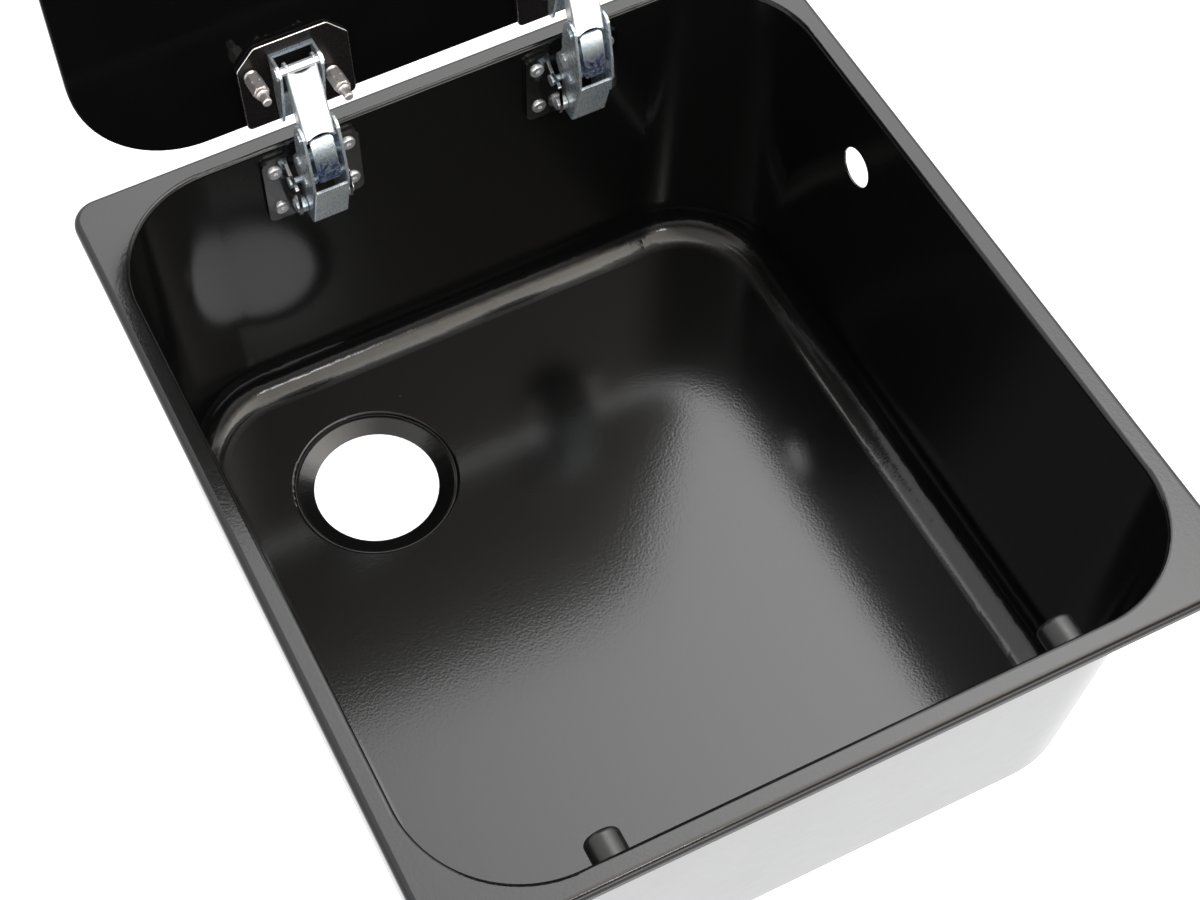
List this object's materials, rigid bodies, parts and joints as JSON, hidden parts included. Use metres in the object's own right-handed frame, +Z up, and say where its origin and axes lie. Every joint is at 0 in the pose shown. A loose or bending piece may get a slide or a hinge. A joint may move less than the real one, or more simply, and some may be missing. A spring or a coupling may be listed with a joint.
{
  "type": "caravan sink with glass lid",
  "caption": "Inset caravan sink: black-coated steel bowl with waste and overflow holes, and a black glass lid on folding hinges standing open behind it.",
  "frame": {"origin": "centre of the worktop cut-out, on the worktop's top surface where the rim's turned-down edge rests", "axes": "+X to the right along the hinge side, +Y towards the hinge side at the back, +Z up out of the bowl"},
  "size_m": [0.34, 0.408, 0.5209],
  "materials": {
    "black_coating": "satin black coating on the inside and the rim; the outside of the same sheet is bare satin steel",
    "black_glass": "polished toughened glass, opaque black, arrised edge",
    "black_rubber": "smooth moulded rubber",
    "zinc_steel": "bright zinc plated pressed steel, faintly blue",
    "dark_steel": "dark satin coating with worn bright cut edges",
    "rivet_alloy": "bright turned blind rivet heads",
    "nickel": "bright nickel plated screws and nuts"
  },
  "bodies": {
    "sink": {"bracket_inner_left": "zinc_steel", "bracket_inner_right": "zinc_steel", "bracket_outer_left": "zinc_steel", "bracket_outer_right": "zinc_steel", "bracket_pads_left": "black_rubber", "bracket_pads_right": "black_rubber", "bracket_rivets_left": "rivet_alloy", "bracket_rivets_right": "rivet_alloy", "bumper_left": "black_rubber", "bumper_right": "black_rubber", "lever_pin_left": "zinc_steel", "lever_pin_right": "zinc_steel", "lever_spacers_left": "zinc_steel", "lever_spacers_right": "zinc_steel", "sink_bowl": "black_coating", "stop_pins_left": "zinc_steel", "stop_pins_right": "zinc_steel"},
    "lever_left": {"ear_rivets_left": "zinc_steel", "lever_left": "zinc_steel", "stop_plate_left": "zinc_steel", "stop_plate_rivets_left": "zinc_steel"},
    "arm_left": {"arm_left": "zinc_steel"},
    "lid": {"glass_lid": "black_glass", "lid_bracket_left": "zinc_steel", "lid_bracket_right": "zinc_steel", "lid_lock_nuts_left": "nickel", "lid_lock_nuts_right": "nickel", "lid_nut_washers_left": "nickel", "lid_nut_washers_right": "nickel", "lid_nuts_left": "nickel", "lid_nuts_right": "nickel", "lid_pin_left": "zinc_steel", "lid_pin_right": "zinc_steel", "lid_plate_left": "dark_steel", "lid_plate_pad_left": "black_rubber", "lid_plate_pad_right": "black_rubber", "lid_plate_right": "dark_steel", "lid_screw_seals_left": "black_rubber", "lid_screw_seals_right": "black_rubber", "lid_screws_left": "nickel", "lid_screws_right": "nickel"},
    "lever_right": {"ear_rivets_right": "zinc_steel", "lever_right": "zinc_steel", "stop_plate_right": "zinc_steel", "stop_plate_rivets_right": "zinc_steel"},
    "arm_right": {"arm_right": "zinc_steel"}
  },
  "joints": [
    {"name": "lid_hinge", "type": "hinge", "parent": "arm_left", "child": "lid", "pos_m": [-0.062, 0.17108, 0.05352], "axis": [1, 0, 0], "range_deg": [0, 116.84]},
    {"name": "lever_left_pivot", "type": "hinge", "parent": "sink", "child": "lever_left", "pos_m": [-0.062, 0.1615, -0.021], "axis": [1, 0, 0], "range_deg": [0, 103.61]},
    {"name": "arm_left_pivot", "type": "hinge", "parent": "lever_left", "child": "arm_left", "pos_m": [-0.062, 0.1595, 0.0235], "axis": [1, 0, 0], "range_deg": [-123.45, 0]},
    {"name": "lever_right_pivot", "type": "hinge", "parent": "sink", "child": "lever_right", "pos_m": [0.066, 0.1615, -0.021], "axis": [1, 0, 0], "range_deg": [0, 103.61]},
    {"name": "arm_right_pivot", "type": "hinge", "parent": "lever_right", "child": "arm_right", "pos_m": [0.066, 0.1595, 0.0235], "axis": [1, 0, 0], "range_deg": [-123.45, 0]}
  ],
  "couplings": [
    {"joint": "lever_left_pivot", "follows": "lid_hinge", "ratio": 0.88673},
    {"joint": "arm_left_pivot", "follows": "lid_hinge", "ratio": -1.0565},
    {"joint": "lever_right_pivot", "follows": "lid_hinge", "ratio": 0.88673},
    {"joint": "arm_right_pivot", "follows": "lid_hinge", "ratio": -1.0565}
  ]
}
